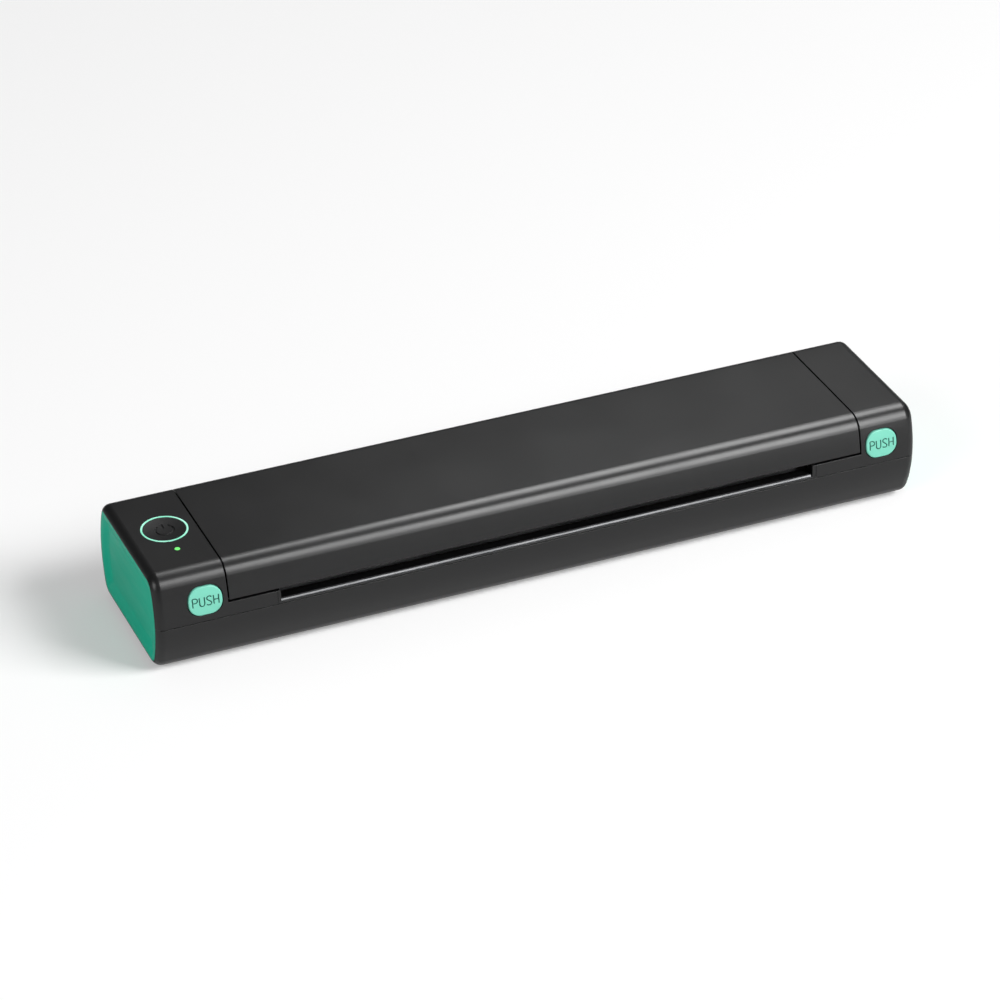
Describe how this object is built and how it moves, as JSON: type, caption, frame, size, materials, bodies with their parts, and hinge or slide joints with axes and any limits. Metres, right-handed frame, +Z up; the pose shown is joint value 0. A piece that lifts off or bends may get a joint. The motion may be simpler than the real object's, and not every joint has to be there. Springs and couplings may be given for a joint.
{
  "type": "portable thermal printer",
  "caption": "Long bar-shaped portable thermal printer for A4 sheets with a hinged cover, driven platen roller, pressed print head, release buttons and coloured end panels.",
  "frame": {"origin": "middle of the length and of the depth, on the surface that the feet rest on", "axes": "+X along the length to the right as seen from the front, the front with the paper exit slot and release buttons faces -Y, +Z up"},
  "size_m": [0.3096, 0.0661, 0.0405],
  "materials": {
    "casing_black": "fine satin texture",
    "liner_grey": "smooth moulded",
    "panel_green": "high gloss",
    "button_mint": "smooth satin",
    "ring_mint": "translucent light guide",
    "lens_green": "clear lens",
    "button_black": "polished",
    "edge_steel": "ground strip",
    "screw_steel": "zinc plated",
    "shaft_steel": "ground shaft",
    "spring_steel": "drawn wire",
    "sheet_steel": "zinc plated sheet",
    "soft_rubber": "ground roller rubber",
    "foot_rubber": "matt",
    "gear_plastic": "natural acetal",
    "pinion_brass": "turned",
    "heatsink_aluminium": "extruded",
    "head_ceramic": "glazed strip",
    "board_green": "solder mask",
    "chip_black": "moulded package",
    "led_white": "moulded lens",
    "flex_film": "polyimide film",
    "battery_wrap": "shrink sleeve",
    "port_steel": "drawn shell"
  },
  "bodies": {
    "housing": {"lower_shell": "casing_black", "upper_shell": "casing_black", "end_panel_left": "panel_green", "end_panel_right": "panel_green", "exit_bezel": "casing_black", "tear_bar": "edge_steel", "rubber_feet": "foot_rubber", "housing_screws": "screw_steel", "hinge_pins": "shaft_steel", "gear_plate": "sheet_steel", "gear_clips": "screw_steel", "gear_plate_screws": "screw_steel", "stepper_motor": "sheet_steel", "motor_screws": "screw_steel", "head_pivot_shaft": "shaft_steel", "head_springs": "spring_steel", "head_flex": "flex_film", "paper_guide": "liner_grey", "guide_screws": "screw_steel", "paper_sensor": "chip_black", "latch_spring_left": "spring_steel", "latch_spring_right": "spring_steel", "power_light_ring": "ring_mint", "status_lens": "lens_green", "control_board": "board_green", "power_switch": "chip_black", "status_led": "led_white", "main_board": "board_green", "board_components": "chip_black", "board_screws": "screw_steel", "port_board": "board_green", "charging_port": "port_steel", "battery_pack": "battery_wrap"},
    "cover": {"cover": "casing_black", "cover_liner": "liner_grey", "liner_screws": "screw_steel", "platen_brackets": "sheet_steel", "bracket_screws": "screw_steel", "platen_bushings": "gear_plastic"},
    "platen": {"platen_shaft": "shaft_steel", "platen_rubber": "soft_rubber", "platen_gear": "gear_plastic", "platen_clips": "screw_steel"},
    "idler": {"idler_gear": "gear_plastic"},
    "compound": {"compound_gear": "gear_plastic"},
    "pinion": {"motor_shaft": "shaft_steel", "motor_pinion": "pinion_brass"},
    "head": {"head_heatsink": "heatsink_aluminium", "print_head": "head_ceramic"},
    "push_left": {"push_button_left": "button_mint"},
    "push_right": {"push_button_right": "button_mint"},
    "latch_left": {"latch_left": "gear_plastic"},
    "latch_right": {"latch_right": "gear_plastic"},
    "power": {"power_button": "button_black"}
  },
  "joints": [
    {"name": "cover_hinge", "type": "hinge", "parent": "housing", "child": "cover", "pos_m": [0, 0.02564, 0.0364], "axis": [-1, 0, 0], "range_deg": [0, 100]},
    {"name": "platen_spin", "type": "hinge", "parent": "cover", "child": "platen", "pos_m": [0, -0.01955, 0.0297], "axis": [1, 0, 0], "continuous": true},
    {"name": "idler_spin", "type": "hinge", "parent": "housing", "child": "idler", "pos_m": [0, -0.01238, 0.01946], "axis": [1, 0, 0], "continuous": true},
    {"name": "compound_spin", "type": "hinge", "parent": "housing", "child": "compound", "pos_m": [0, -0.00285, 0.01396], "axis": [1, 0, 0], "continuous": true},
    {"name": "pinion_spin", "type": "hinge", "parent": "housing", "child": "pinion", "pos_m": [0, 0.00853, 0.01236], "axis": [1, 0, 0], "continuous": true},
    {"name": "head_pivot", "type": "hinge", "parent": "housing", "child": "head", "pos_m": [0, -0.00455, 0.0184], "axis": [1, 0, 0], "range_deg": [0, 2.5], "stiffness_Nm_per_rad": 0.5, "springref_deg": -17.19, "deforming": ["head_springs"]},
    {"name": "push_left", "type": "slide", "parent": "housing", "child": "push_left", "axis": [0, 1, 0], "range_m": [0, 0.002], "stiffness_N_per_m": 150, "springref_m": -0.004, "deforming": ["latch_spring_left"]},
    {"name": "push_right", "type": "slide", "parent": "housing", "child": "push_right", "axis": [0, 1, 0], "range_m": [0, 0.002], "stiffness_N_per_m": 150, "springref_m": -0.004, "deforming": ["latch_spring_right"]},
    {"name": "latch_left", "type": "hinge", "parent": "housing", "child": "latch_left", "pos_m": [0, -0.02275, 0.02175], "axis": [-1, 0, 0], "range_deg": [0, 15]},
    {"name": "latch_right", "type": "hinge", "parent": "housing", "child": "latch_right", "pos_m": [0, -0.02275, 0.02175], "axis": [-1, 0, 0], "range_deg": [0, 15]},
    {"name": "power_press", "type": "slide", "parent": "housing", "child": "power", "axis": [0, 0, -1], "range_m": [0, 0.0006], "stiffness_N_per_m": 100, "springref_m": -0.006}
  ],
  "couplings": [
    {"joint": "idler_spin", "follows": "platen_spin", "ratio": -0.92308},
    {"joint": "compound_spin", "follows": "platen_spin", "ratio": 1.3333},
    {"joint": "pinion_spin", "follows": "platen_spin", "ratio": -3.0476},
    {"joint": "latch_left", "follows": "push_left", "rad_per_m": 130.9},
    {"joint": "latch_right", "follows": "push_right", "rad_per_m": 130.9}
  ]
}
